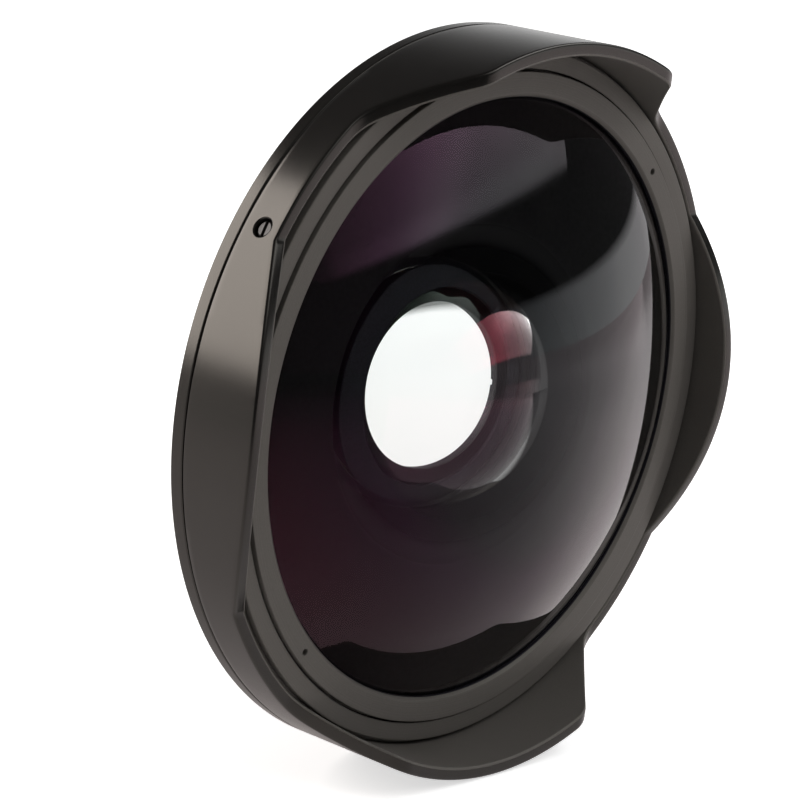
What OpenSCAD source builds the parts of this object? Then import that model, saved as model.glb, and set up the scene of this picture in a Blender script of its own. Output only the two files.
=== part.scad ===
// Screw-in fisheye converter lens with a four-petal hood.
// The optical axis lies along Y. The front glass looks along -Y and the host lens is on the +Y side.
// The origin is on the axis, in the plane of the shoulder that seats against the host lens.
// Inside the modules Z runs forward along the optical axis, and on_axis() lays it along -Y.

/* [Hood] */
// Outside diameter of the hood and of the barrel's flange
hood_d = 100; // [90:0.5:112]
// Wall of the hood
hood_wall = 1.8; // [1.5:0.1:2.2]
// Height of the hood's skirt, from the seam to the low edge between the petals
skirt_h = 6.1; // [5.6:0.1:9]
// Height of the top and bottom petals above the skirt
tall_petal_h = 10.3; // [6:0.1:14]
// Width of the top and bottom petals along their front edge
tall_petal_front_w = 38.4; // [30:0.2:44]
// Width of the top and bottom petals where they leave the skirt
tall_petal_base_w = 60.8; // [56:0.2:66]
// Height of the side petals above the skirt
side_petal_h = 5.5; // [3:0.1:8]
// Width of the side petals where they leave the skirt
side_petal_w = 47.8; // [36:0.2:54]
// Radius of the front corners of the tall petals
petal_corner_r = 4; // [1:0.5:5]
// Radius of the sweep from the tall petals into the skirt
petal_sweep_r = 5; // [1:0.5:6]

/* [Hood screws] */
// Diameter of the three slotted grub screws that clamp the hood
hood_screw_d = 2.5; // [2:0.1:3]
// Distance from the seam to the screws
hood_screw_h = 3.2; // [2.6:0.1:3.6]
// Depth of the screws' heads below the hood's outside
hood_screw_recess = 0.45; // [0.2:0.05:0.7]
// Depth of the groove in the barrel that the screws' tips run in
screw_groove_depth = 0.8; // [0.5:0.05:1]
// Gap between a screw's tip and the floor of the groove while the hood is free to turn
screw_tip_gap = 0.2; // [0.1:0.05:0.3]

/* [Barrel] */
// Distance from the rear seat forward to the seam under the hood
seat_to_seam = 16; // [15:0.5:20]
// Thickness of the flange behind the hood
flange_t = 2.1; // [1.5:0.1:3]
// Height of the barrel's front rim above the seam
rim_h = 6.4; // [6:0.1:9]
// How far the front rim's side is set in from the hood's bore
rim_set_in = 0.6; // [0.3:0.1:0.9]
// Height of the part of the rim that is set in
rim_set_in_h = 1.2; // [0.6:0.1:1.6]
// Width of the front rim's face
rim_w = 2.55; // [2:0.05:3.5]
// Wall of the barrel round the front glass
barrel_wall = 2; // [1:0.1:3]
// Wall of the barrel's cone, measured across the axis
cone_wall = 2.8; // [2:0.1:3.2]
// Thickness of the barrel's back wall
back_wall = 4; // [3.4:0.1:4.6]

/* [Front glass] */
// Radius of the domed front surface
dome_r = 70; // [64:1:90]
// Distance from the rear seat forward to the element's flat back
glass_back = 10; // [9.6:0.1:11]
// Depth of the hollow in the middle of the element's back
hollow_depth = 14; // [12:0.1:15]
// Thickness of the gasket that the element sits on
gasket_t = 0.4; // [0.2:0.05:0.8]

/* [Front retaining ring] */
// Width of the ring's face
ring_face_w = 3.15; // [2.4:0.05:4.5]
// How far the ring stands proud of the barrel's rim
ring_proud = 0.45; // [0.2:0.05:0.8]
// Width of the groove between the ring and the barrel's rim
ring_groove = 0.6; // [0.3:0.05:0.8]
// Wall of the ring's threaded skirt
ring_skirt_wall = 1.4; // [1:0.1:1.6]
// How far the ring's threaded skirt reaches back past the edge of the dome
ring_skirt_reach = 1; // [0.5:0.1:2]
// Diameter of the two spanner holes
spanner_hole_d = 0.9; // [0.6:0.1:1.2]

/* [Rear lens group] */
// Wall of the cell that holds the rear elements
cell_wall = 1.8; // [1.5:0.1:2.2]
// Width of the cell's front lip over the glass
cell_lip_w = 1.3; // [0.8:0.1:2]
// Radius of the crown element's front surface
crown_r = 45; // [38:1:70]
// Radius of the cemented surface between the crown and the flint
cement_r = 80; // [72:1:120]
// Thickness of the flint element on the axis
flint_t = 1.6; // [1.2:0.1:2]
// Thickness of the rear elements from the cell's lip to the flint's flat back
rear_stack_t = 4.6; // [4.2:0.1:4.8]
// Width of the rear retaining ring over the glass
rear_ring_w = 4.2; // [3.4:0.1:4.6]

/* [Rear mount] */
// Outside diameter of the rear thread
thread_d = 58; // [52:0.5:72]
// Length of the rear thread
thread_h = 4.5; // [3.6:0.1:6]
// Wall of the threaded tube
thread_wall = 2.4; // [1.8:0.1:2.5]
// Width of the shoulder outside the thread
shoulder_w = 4; // [2:0.1:5]
// Thickness of the mount ring's flange
mount_flange_t = 2; // [1.8:0.1:2.6]
// Thickness of the inward web that the mount screws hold
web_t = 1.5; // [1.3:0.05:1.7]
// Diameter of the three mount screws
mount_screw_d = 2; // [1.6:0.1:2.2]

/* [Hidden] */
$fn = 96;

// Colours
anodised = [0.16, 0.155, 0.15];
inner_black = [0.06, 0.06, 0.06];
coated_glass = [0.45, 0.35, 0.5, 0.35];
screw_black = [0.22, 0.21, 0.2];
soft_black = [0.09, 0.09, 0.09];
shim_brass = [0.75, 0.6, 0.3];

// Clearances and small edges
run_gap = 0.08;      // hood bore to the barrel's spigot, and screws to their holes
seam_gap = 0.1;      // under the hood
fit_gap = 0.15;      // pieces that stay put inside one another
touch_gap = 0.03;    // a curved face next to its seat
cement_gap = 0.02;   // cement between the crown and the flint
edge = 0.25;         // chamfer on outside edges
lip_edge = 0.5;      // chamfer on the retaining ring's inner edge
over = 1;            // how far a cutter runs past what it cuts
arc_steps = 8;       // straight steps in a rounded corner
fine = 360;          // facets round a lens surface where it is drawn as a mesh

// Hood and spigot radii
hood_r = hood_d / 2;
hood_bore_r = hood_r - hood_wall;
spigot_r = hood_bore_r - run_gap;
rim_r = hood_bore_r - rim_set_in;
groove_r = spigot_r - screw_groove_depth;

// Places along the axis, forward of the rear seat
s_back = mount_flange_t;
s_floor = s_back + back_wall;
s_seat = glass_back - gasket_t;
s_seam = seat_to_seam;
s_flange = s_seam - flange_t;
s_valley = s_seam + skirt_h;
s_tall = s_valley + tall_petal_h;
s_side = s_valley + side_petal_h;
s_rim = s_seam + rim_h;
s_screw = s_seam + hood_screw_h;
s_ring_face = s_rim + ring_proud;

// Front element and the ring that holds it, from the rim inward
ring_bore_r = rim_r - rim_w;
ring_front_r = ring_bore_r - ring_groove;
ring_thread_r = ring_bore_r - fit_gap;
ring_skirt_r = ring_thread_r - ring_skirt_wall;
barrel_bore_r = ring_skirt_r - fit_gap;
barrel_r = barrel_bore_r + barrel_wall;
glass_r = barrel_bore_r - fit_gap;
clear_r = ring_front_r - ring_face_w;
lip_t = 0.35;
s_lip = s_ring_face - lip_edge - lip_t;
s_dome_centre = s_lip - touch_gap - sqrt(dome_r * dome_r - clear_r * clear_r);
s_under = s_dome_centre + sqrt(dome_r * dome_r - ring_skirt_r * ring_skirt_r) + 2 * touch_gap;
s_ring_foot = s_under - ring_skirt_reach;
ring_step_t = 1;
spanner_turn = 45;
spanner_depth = 0.8;
spanner_r = (clear_r + lip_edge + ring_front_r) / 2;

// Rear mount
thread_r = thread_d / 2;
thread_edge = 0.5;
tube_r = thread_r - thread_wall;
mount_flange_r = thread_r + shoulder_w;
back_margin = 1.5;
back_r = mount_flange_r + back_margin;
mount_screw_head_d = 1.8 * mount_screw_d;
web_margin = 0.6;
web_r = tube_r - mount_screw_head_d - 2 * web_margin;
web_gap = 0.3;
s_web = mount_flange_t - web_t;
mount_screw_circle_r = (web_r + tube_r) / 2;
screw_bottom_gap = 0.4;
screw_floor_t = 0.7;
mount_screw_l = s_floor - s_web - screw_bottom_gap - screw_floor_t;

// Rear cell and its elements, from the mount's web inward
cell_flange_w = 2.4;
cell_r = web_r - web_gap - cell_flange_w;
cell_bore_r = cell_r - cell_wall;
rear_glass_r = cell_bore_r - fit_gap;
cell_flange_t = 1.2;
shim_t = 0.15;
rear_seal_t = 0.3;
cell_lip_t = 0.7;
cell_gap = 0.7;
rear_ring_recess = 0.8;
s_cell_lip = glass_back - cell_gap - cell_lip_t;
s_cell_front = glass_back - cell_gap;
s_cell_flange = s_back - shim_t;
s_cell_back = s_cell_flange - cell_flange_t;
s_flint_back = s_cell_lip - rear_stack_t;
s_cement = s_flint_back + flint_t;
cell_lip_r = rear_glass_r - cell_lip_w;
s_crown_centre = s_cell_lip - touch_gap - sqrt(crown_r * crown_r - cell_lip_r * cell_lip_r);
rear_open_r = rear_glass_r - rear_ring_w;
s_rear_ring = s_cell_back + rear_ring_recess;

// Hollow in the front element's back, wider than the cell's lip
hollow_margin = 4.15;
hollow_mouth_r = cell_lip_r + hollow_margin;
hollow_r = (hollow_mouth_r * hollow_mouth_r + hollow_depth * hollow_depth) / (2 * hollow_depth);
s_hollow_centre = glass_back + hollow_depth - hollow_r;

// Stepped light trap in the pocket of the barrel, whose side stays clear of the barrel's cone
s_cone = s_back + edge;
cone_slope = (barrel_r - back_r) / (s_seat - s_cone);
pocket_r = back_r + cone_slope * (s_floor - s_cone) - cone_wall;
baffle_steps = 5;
baffle_base_t = 1;
baffle_r = pocket_r - fit_gap;
baffle_bore_r = cell_r + 2 * fit_gap;
baffle_clear = 0.3;

// Grub screws
screw_tip_r = groove_r + screw_tip_gap;
screw_head_r = hood_r - hood_screw_recess;
screw_tip_edge = 0.35;
screw_slot_w = 0.45;
screw_slot_depth = 0.6;
screw_slot_turn = 86;
groove_room = 0.3;
groove_w = hood_screw_d + 2 * groove_room;
right_screw_at = 30;
left_screw_at = 150;
bottom_screw_at = 270;
mount_screw_step = 120;
mount_screw_first = 90;

// Geometry helpers
function unit(v) = v / norm(v);

// Points of an arc that rounds the corner b between the points a and c
function round_corner(a, b, c, r) =
    let (u = unit(a - b),
         v = unit(c - b),
         half = acos(u * v) / 2,
         reach = r / tan(half),
         centre = b + unit(u + v) * r / sin(half),
         p = b + u * reach - centre,
         q = b + v * reach - centre,
         first = atan2(p[1], p[0]),
         turn = (atan2(q[1], q[0]) - first + 540) % 360 - 180)
    [for (i = [0 : arc_steps])
        centre + r * [cos(first + turn * i / arc_steps), sin(first + turn * i / arc_steps)]];

// Lays the optical axis, Z in the modules, along -Y
module on_axis() {
    rotate([90, 0, 0]) children();
}

// A closed ring turned from points of radius and place along the axis
module turned(points) {
    rotate_extrude() polygon(points);
}

// Puts what is drawn along Z on a radius of the axis, at an angle and a place along the axis
module on_radius(angle, s, r) {
    rotate([0, 0, angle]) translate([r, 0, s]) rotate([0, 90, 0]) children();
}

// Hood

// Front outline of the two tall petals and the skirt, as seen from above
module tall_petal_outline() {
    reach = 1.2 * hood_r;
    base_l = [-tall_petal_base_w / 2, s_valley];
    base_r = [tall_petal_base_w / 2, s_valley];
    front_l = [-tall_petal_front_w / 2, s_tall];
    front_r = [tall_petal_front_w / 2, s_tall];
    end_l = [-reach, s_valley];
    end_r = [reach, s_valley];
    polygon(concat(
        [[-reach, s_seam - over], end_l],
        round_corner(end_l, base_l, front_l, petal_sweep_r),
        round_corner(base_l, front_l, front_r, petal_corner_r),
        round_corner(front_l, front_r, base_r, petal_corner_r),
        round_corner(front_r, base_r, end_r, petal_sweep_r),
        [end_r, [reach, s_seam - over]]));
}

// All that lies behind the hood's front edge:
// the tall petals run up and down, and the side petals are one arch
module behind_front_edge() {
    span = 2.4 * hood_r;
    arch_r = (side_petal_w * side_petal_w / 4 + side_petal_h * side_petal_h) / (2 * side_petal_h);
    rotate([90, 0, 0]) linear_extrude(span, center = true) tall_petal_outline();
    translate([0, 0, s_side - arch_r]) rotate([0, 90, 0]) cylinder(span, r = arch_r, center = true);
}

module petal_hood() {
    foot = s_seam + seam_gap;
    color(anodised) on_axis() difference() {
        intersection() {
            turned([[hood_bore_r, foot], [hood_r - edge, foot], [hood_r, foot + edge],
                    [hood_r, s_tall + over], [hood_bore_r, s_tall + over]]);
            behind_front_edge();
        }
        for (angle = [right_screw_at, left_screw_at, bottom_screw_at])
            on_radius(angle, s_screw, hood_bore_r - over)
                cylinder(hood_wall + 2 * over, d = hood_screw_d + 2 * run_gap);
    }
}

// A slotted grub screw, drawn along Z with its tip at the origin
module grub_screw() {
    length = screw_head_r - screw_tip_r;
    tip_d = hood_screw_d - 2 * screw_tip_edge;
    difference() {
        union() {
            cylinder(screw_tip_edge, d1 = tip_d, d2 = hood_screw_d);
            translate([0, 0, screw_tip_edge]) cylinder(length - screw_tip_edge, d = hood_screw_d);
        }
        rotate([0, 0, screw_slot_turn])
            translate([-hood_screw_d, -screw_slot_w / 2, length - screw_slot_depth])
                cube([2 * hood_screw_d, screw_slot_w, screw_slot_depth + over]);
    }
}

module hood_screw(angle) {
    color(screw_black) on_axis() on_radius(angle, s_screw, screw_tip_r) grub_screw();
}

module hood_screw_right() {
    hood_screw(right_screw_at);
}

module hood_screw_left() {
    hood_screw(left_screw_at);
}

module hood_screw_bottom() {
    hood_screw(bottom_screw_at);
}

// Barrel: back wall, cone, flange, spigot for the hood and front rim
module main_barrel() {
    s_set_in = s_rim - rim_set_in_h;
    cell_hole_r = cell_r + fit_gap;
    color(anodised) on_axis() difference() {
        turned([[cell_hole_r, s_back], [back_r - edge, s_back], [back_r, s_cone],
                [barrel_r, s_seat], [barrel_r, s_flange],
                [hood_r - edge, s_flange], [hood_r, s_flange + edge],
                [hood_r, s_seam - edge], [hood_r - edge, s_seam], [spigot_r, s_seam],
                [spigot_r, s_screw - groove_w / 2], [groove_r, s_screw - groove_w / 2],
                [groove_r, s_screw + groove_w / 2], [spigot_r, s_screw + groove_w / 2],
                [spigot_r, s_set_in], [rim_r, s_set_in],
                [rim_r, s_rim - edge], [rim_r - edge, s_rim],
                [ring_bore_r + edge, s_rim], [ring_bore_r, s_rim - edge],
                [ring_bore_r, s_ring_foot - fit_gap], [barrel_bore_r, s_ring_foot - fit_gap],
                [barrel_bore_r, s_seat], [pocket_r, s_seat], [pocket_r, s_floor], [cell_hole_r, s_floor]]);
        at_mount_screws()
            translate([0, 0, s_web])
                cylinder(mount_screw_l + screw_bottom_gap, d = mount_screw_d + fit_gap);
    }
}

// Front glass

// The ring's underside follows the dome from its lip to its skirt
module front_retaining_ring() {
    color(anodised) on_axis() difference() {
        turned([[clear_r, s_lip], [clear_r, s_ring_face - lip_edge], [clear_r + lip_edge, s_ring_face],
                [ring_front_r - edge, s_ring_face], [ring_front_r, s_ring_face - edge],
                [ring_front_r, s_rim - ring_step_t], [ring_thread_r, s_rim - ring_step_t],
                [ring_thread_r, s_ring_foot], [ring_skirt_r, s_ring_foot], [ring_skirt_r, s_under]]);
        for (angle = [spanner_turn, spanner_turn + 180])
            rotate([0, 0, angle]) translate([spanner_r, 0, s_ring_face - spanner_depth])
                cylinder(spanner_depth + over, d = spanner_hole_d);
    }
}

// A thick meniscus: domed in front, flat behind, with a deep hollow in the middle of its back
module front_element() {
    color(coated_glass) on_axis() difference() {
        intersection() {
            translate([0, 0, s_dome_centre]) sphere(dome_r, $fn = fine);
            translate([0, 0, glass_back]) cylinder(dome_r, r = glass_r);
        }
        translate([0, 0, s_hollow_centre]) sphere(hollow_r, $fn = fine);
    }
}

module front_gasket() {
    gasket_inset = 1;
    color(soft_black) on_axis()
        turned([[pocket_r + gasket_inset, s_seat], [glass_r - gasket_inset, s_seat],
                [glass_r - gasket_inset, glass_back], [pocket_r + gasket_inset, glass_back]]);
}

// Light trap whose steps climb outward from the cell to the glass's seat
module baffle_ring() {
    tread = (baffle_r - baffle_bore_r) / baffle_steps;
    rise = (s_seat - baffle_clear - s_floor - baffle_base_t) / (baffle_steps - 1);
    treads = [for (i = [0 : baffle_steps - 1]) each [
        [baffle_bore_r + i * tread, s_floor + baffle_base_t + i * rise],
        [baffle_bore_r + (i + 1) * tread, s_floor + baffle_base_t + i * rise]]];
    color(inner_black) on_axis()
        turned(concat([[baffle_r, s_floor], [baffle_bore_r, s_floor]], treads));
}

// Rear lens group

module rear_cell() {
    flange_r = cell_r + cell_flange_w;
    color(anodised) on_axis()
        turned([[cell_bore_r, s_cell_back], [flange_r - edge, s_cell_back], [flange_r, s_cell_back + edge],
                [flange_r, s_cell_flange], [cell_r, s_cell_flange], [cell_r, s_cell_front],
                [cell_lip_r + edge, s_cell_front], [cell_lip_r, s_cell_front - edge],
                [cell_lip_r, s_cell_lip], [cell_bore_r, s_cell_lip]]);
}

module cell_shim() {
    color(shim_brass) on_axis()
        turned([[cell_r + fit_gap, s_cell_flange], [cell_r + cell_flange_w - fit_gap, s_cell_flange],
                [cell_r + cell_flange_w - fit_gap, s_back], [cell_r + fit_gap, s_back]]);
}

// Ball whose back is the cemented surface
module cement_ball(s) {
    translate([0, 0, s + cement_r]) sphere(cement_r, $fn = fine);
}

module rear_crown_element() {
    color(coated_glass) on_axis() intersection() {
        translate([0, 0, s_flint_back]) cylinder(crown_r, r = rear_glass_r);
        translate([0, 0, s_crown_centre]) sphere(crown_r, $fn = fine);
        cement_ball(s_cement);
    }
}

module rear_flint_element() {
    color(coated_glass) on_axis() difference() {
        translate([0, 0, s_flint_back]) cylinder(rear_stack_t, r = rear_glass_r);
        cement_ball(s_cement - cement_gap);
    }
}

module rear_seal() {
    color(soft_black) on_axis()
        turned([[rear_open_r + fit_gap, s_flint_back - rear_seal_t],
                [rear_glass_r, s_flint_back - rear_seal_t],
                [rear_glass_r, s_flint_back], [rear_open_r + fit_gap, s_flint_back]]);
}

module rear_retaining_ring() {
    s_front = s_flint_back - rear_seal_t;
    ring_r = cell_bore_r - fit_gap / 2;
    slot_w = 1;
    slot_depth = 0.7;
    color(anodised) on_axis() difference() {
        turned([[rear_open_r + edge, s_rear_ring], [ring_r, s_rear_ring], [ring_r, s_front],
                [rear_open_r, s_front], [rear_open_r, s_rear_ring + edge]]);
        translate([-2 * ring_r, -slot_w / 2, s_rear_ring - over])
            cube([4 * ring_r, slot_w, slot_depth + over]);
    }
}

// Rear mount

// Puts what is drawn along Z on the circle of the mount screws
module at_mount_screws(first = 0, last = 2) {
    for (i = [first : last])
        rotate([0, 0, mount_screw_first + i * mount_screw_step])
            translate([mount_screw_circle_r, 0, 0]) children();
}

module rear_mount_ring() {
    color(anodised) on_axis() difference() {
        turned([[web_r, mount_flange_t], [mount_flange_r, mount_flange_t], [mount_flange_r, edge],
                [mount_flange_r - edge, 0], [thread_r, 0], [thread_r, -thread_h + thread_edge],
                [thread_r - thread_edge, -thread_h], [tube_r, -thread_h], [tube_r, s_web], [web_r, s_web]]);
        at_mount_screws() {
            translate([0, 0, s_web]) mount_screw_head(fit_gap);
            translate([0, 0, s_web]) cylinder(web_t + over, d = mount_screw_d + fit_gap);
        }
    }
}

// Cone of a countersunk head, widest at Z = 0, with a little room all round for the seat
module mount_screw_head(room) {
    cone = (mount_screw_head_d - mount_screw_d) / 2;
    translate([0, 0, -room])
        cylinder(cone + room, d1 = mount_screw_head_d + 2 * room, d2 = mount_screw_d);
}

module mount_screw(i) {
    cross_w = 0.5;
    cross_l = 0.55 * mount_screw_head_d;
    cross_depth = 0.5;
    color(screw_black) on_axis() at_mount_screws(i, i) translate([0, 0, s_web]) difference() {
        union() {
            mount_screw_head(0);
            cylinder(mount_screw_l, d = mount_screw_d);
        }
        for (turn = [0, 90])
            rotate([0, 0, turn]) translate([-cross_l / 2, -cross_w / 2, -over])
                cube([cross_l, cross_w, cross_depth + over]);
    }
}

module mount_screw_1() {
    mount_screw(0);
}

module mount_screw_2() {
    mount_screw(1);
}

module mount_screw_3() {
    mount_screw(2);
}

petal_hood();
hood_screw_right();
hood_screw_left();
hood_screw_bottom();
main_barrel();
front_retaining_ring();
front_element();
front_gasket();
baffle_ring();
rear_cell();
cell_shim();
rear_crown_element();
rear_flint_element();
rear_seal();
rear_retaining_ring();
rear_mount_ring();
mount_screw_1();
mount_screw_2();
mount_screw_3();
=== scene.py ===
"""Dresses the packed frame of a fisheye converter lens: hood, barrel, glass, mount, finishes and studio."""

import math

import bmesh
import bpy
from bpy.props import FloatProperty, FloatVectorProperty, PointerProperty
from mathutils import Matrix, Vector


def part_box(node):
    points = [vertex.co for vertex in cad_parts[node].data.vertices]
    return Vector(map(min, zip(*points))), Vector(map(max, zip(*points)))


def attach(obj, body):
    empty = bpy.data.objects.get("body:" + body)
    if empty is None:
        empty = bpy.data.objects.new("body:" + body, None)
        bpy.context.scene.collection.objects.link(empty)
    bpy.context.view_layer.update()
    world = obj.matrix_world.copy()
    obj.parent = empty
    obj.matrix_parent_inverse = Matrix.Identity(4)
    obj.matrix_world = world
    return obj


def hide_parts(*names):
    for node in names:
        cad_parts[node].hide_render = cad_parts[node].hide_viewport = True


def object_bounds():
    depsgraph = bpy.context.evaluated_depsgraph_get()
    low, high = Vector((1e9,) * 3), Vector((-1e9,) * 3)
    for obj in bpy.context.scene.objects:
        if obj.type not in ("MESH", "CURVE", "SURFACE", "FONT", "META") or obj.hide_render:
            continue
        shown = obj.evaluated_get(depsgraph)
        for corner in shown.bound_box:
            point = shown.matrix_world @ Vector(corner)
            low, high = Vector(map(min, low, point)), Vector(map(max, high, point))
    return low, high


bl_info = {
    "name": "Fisheye Converter Lens",
    "version": (1, 0, 0),
    "blender": (4, 5, 0),
    "location": "3D View > Sidebar > Lens",
    "description": "Builds the visible pieces of a fisheye converter lens on its packed frame",
    "category": "Object",
}

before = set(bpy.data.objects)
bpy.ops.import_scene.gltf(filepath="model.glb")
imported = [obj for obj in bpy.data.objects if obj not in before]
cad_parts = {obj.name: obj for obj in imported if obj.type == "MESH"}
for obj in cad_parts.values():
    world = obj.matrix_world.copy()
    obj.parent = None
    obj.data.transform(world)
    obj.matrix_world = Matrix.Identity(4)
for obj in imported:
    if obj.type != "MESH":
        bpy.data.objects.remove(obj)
CAD_BOX = [list(corner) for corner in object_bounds()]
MM = 0.001
TINY = 1e-7
HOOD_SCREWS = {"right": math.radians(30), "left": math.radians(150), "bottom": math.radians(270)}
MOUNT_SCREWS = [math.radians(turn) for turn in (90, 210, 330)]


def reach(node):
    """Largest radius of a node round the lens axis."""
    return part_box(node)[1].x


def front(node):
    """Place of a node's front end along the axis, counted forward from the rear seat."""
    return -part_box(node)[0].y


def rear(node):
    """Place of a node's rear end along the axis, counted forward from the rear seat."""
    return -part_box(node)[1].y


def length(name, description, default):
    """A size in metres."""
    return FloatProperty(name=name, description=description, default=default, unit="LENGTH", precision=5)


def angle(name, description, degrees):
    """A turn, kept in radians."""
    return FloatProperty(name=name, description=description, default=math.radians(degrees), unit="ROTATION")


def share(name, description, default):
    """A number from nothing to all."""
    return FloatProperty(name=name, description=description, default=default, min=0, max=1, subtype="FACTOR")


def level(name, description, default):
    """A brightness."""
    return FloatProperty(name=name, description=description, default=default, min=0)


def tint(name, description, default):
    """A linear colour."""
    return FloatVectorProperty(name=name, description=description, default=default, subtype="COLOR",
                               min=0, max=1)


def point(name, description, default):
    """A place in metres."""
    return FloatVectorProperty(name=name, description=description, default=default, subtype="TRANSLATION")


def extent(name, description, default):
    """A width and a depth in metres."""
    return FloatVectorProperty(name=name, description=description, default=default, size=2, unit="LENGTH")


class HoodSettings(bpy.types.PropertyGroup):
    """Sizes of the petal hood and its grub screws."""
    outer_r: length("Outer radius", "Radius of the hood's outer wall", reach("petal_hood"))
    wall: length("Wall", "Thickness of the hood's wall", 1.8 * MM)
    foot: length("Foot", "Place of the hood's rear edge along the axis", rear("petal_hood"))
    foot_bevel: length("Foot bevel", "Rounding of the rear edge", 0.24 * MM)
    valley: length("Valley", "Place of the low front edge between the petals", 22.1 * MM)
    tall_front: length("Tall petal front", "Place of the tall petals' front edge", front("petal_hood"))
    tall_front_w: length("Tall petal front width", "Straight width at the front of a tall petal", 38.4 * MM)
    tall_base_w: length("Tall petal base width", "Width at the foot of a tall petal", 60.8 * MM)
    side_front: length("Side petal front", "Place of the low side petals' crest", 27.6 * MM)
    side_w: length("Side petal width", "Width at the foot of a side petal", 47.8 * MM)
    corner_r: length("Petal corner radius", "Rounding of the tall petals' corners", 4 * MM)
    sweep_r: length("Petal sweep radius", "Sweep between a tall petal and the valley", 5 * MM)
    bevel: length("Edge bevel", "Rounding of the front edge", 0.34 * MM)
    screw_at: length("Screw place", "Place of the grub screws along the axis", 19.2 * MM)
    screw_hole_d: length("Screw hole", "Diameter of a grub screw's hole", 2.66 * MM)
    hole_chamfer: length("Hole chamfer", "Chamfer round a grub screw's hole", 0.16 * MM)
    screw_d: length("Screw diameter", "Diameter of a grub screw", 2.5 * MM)
    screw_play: length("Screw play", "Room left round a grub screw's thread", 0.02 * MM)
    screw_tip_r: length("Screw tip", "Distance of a grub screw's tip from the axis", 47.53 * MM)
    screw_head_r: length("Screw head", "Distance of a grub screw's slotted end from the axis", 49.54 * MM)
    screw_slot_w: length("Slot width", "Width of a grub screw's slot", 0.5 * MM)
    screw_slot_depth: length("Slot depth", "Depth of a grub screw's slot", 0.6 * MM)
    screw_slot_turn: angle("Slot turn", "Turn of the slots from the lens axis", 86)


class BarrelSettings(bpy.types.PropertyGroup):
    """Sizes of the barrel and the front retaining ring."""
    soft_edge: length("Soft edge", "Rounding of the turned edges", 0.16 * MM)
    back: length("Back", "Place of the barrel's rear face along the axis", 2 * MM)
    back_r: length("Back radius", "Radius where the rear face meets the cone", 34.5 * MM)
    rear_bore_r: length("Rear bore radius", "Radius of the bore for the rear cell", 19.25 * MM)
    cone_end: length("Cone end", "Place where the cone meets the body", 9.6 * MM)
    body_r: length("Body radius", "Radius of the body behind the flange", 45.35 * MM)
    flange: length("Flange", "Place of the flange's rear face", 13.9 * MM)
    seam: length("Seam", "Place of the seam between flange and hood", 16 * MM)
    spigot_r: length("Spigot radius", "Radius of the spigot that the hood turns on", 48.12 * MM)
    spigot_end: length("Spigot end", "Place of the spigot's front end", 21.2 * MM)
    groove_r: length("Groove radius", "Radius of the floor of the groove for the grub screws", 47.32 * MM)
    groove_rear: length("Groove rear", "Place of the groove's rear side", 17.65 * MM)
    groove_front: length("Groove front", "Place of the groove's front side", 20.75 * MM)
    rim_r: length("Rim radius", "Radius of the front rim", 47.6 * MM)
    rim_bore_r: length("Rim bore radius", "Inner radius of the front rim", 45.05 * MM)
    rim: length("Rim", "Place of the rim's face along the axis", front("main_barrel"))
    ring_seat: length("Ring seat", "Place of the floor under the retaining ring", 19.205 * MM)
    glass_bore_r: length("Glass bore radius", "Radius of the bore round the front glass", 43.35 * MM)
    glass_seat: length("Glass seat", "Place of the floor under the front gasket", 9.6 * MM)
    trap_r: length("Light trap radius", "Radius of the pocket for the light trap", 37.236 * MM)
    trap_floor: length("Light trap floor", "Place of the pocket's floor", 6 * MM)
    mount_hole_end: length("Mount hole end", "Place of the bottom of the mount screws' holes", 5.2 * MM)
    ring_face: length("Ring face", "Place of the retaining ring's face", front("front_retaining_ring"))
    ring_front_r: length("Ring radius", "Outer radius of the retaining ring's face", 44.75 * MM)
    ring_r: length("Ring thread radius", "Radius of the retaining ring's threaded foot", 44.9 * MM)
    ring_step: length("Ring step", "Place of the step from the face down to the foot", 21.4 * MM)
    ring_bore_r: length("Ring bore radius", "Radius of the ring's bore round the glass", 43.5 * MM)
    ring_under: length("Ring underside", "Place of the bore's front end", 20.355 * MM)
    ring_lip: length("Ring lip", "Place of the lip's rear edge over the dome", 22 * MM)
    clear_r: length("Clear radius", "Radius of the opening in the retaining ring", 41.3 * MM)
    lip_bevel: length("Lip bevel", "Chamfer round the retaining ring's opening", 0.5 * MM)
    spanner_hole_d: length("Spanner hole", "Diameter of a spanner hole", 0.9 * MM)
    spanner_depth: length("Spanner hole depth", "Depth of a spanner hole", 0.8 * MM)
    spanner_turn: angle("Spanner hole turn", "Turn of the spanner holes round the axis", 45)


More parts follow.
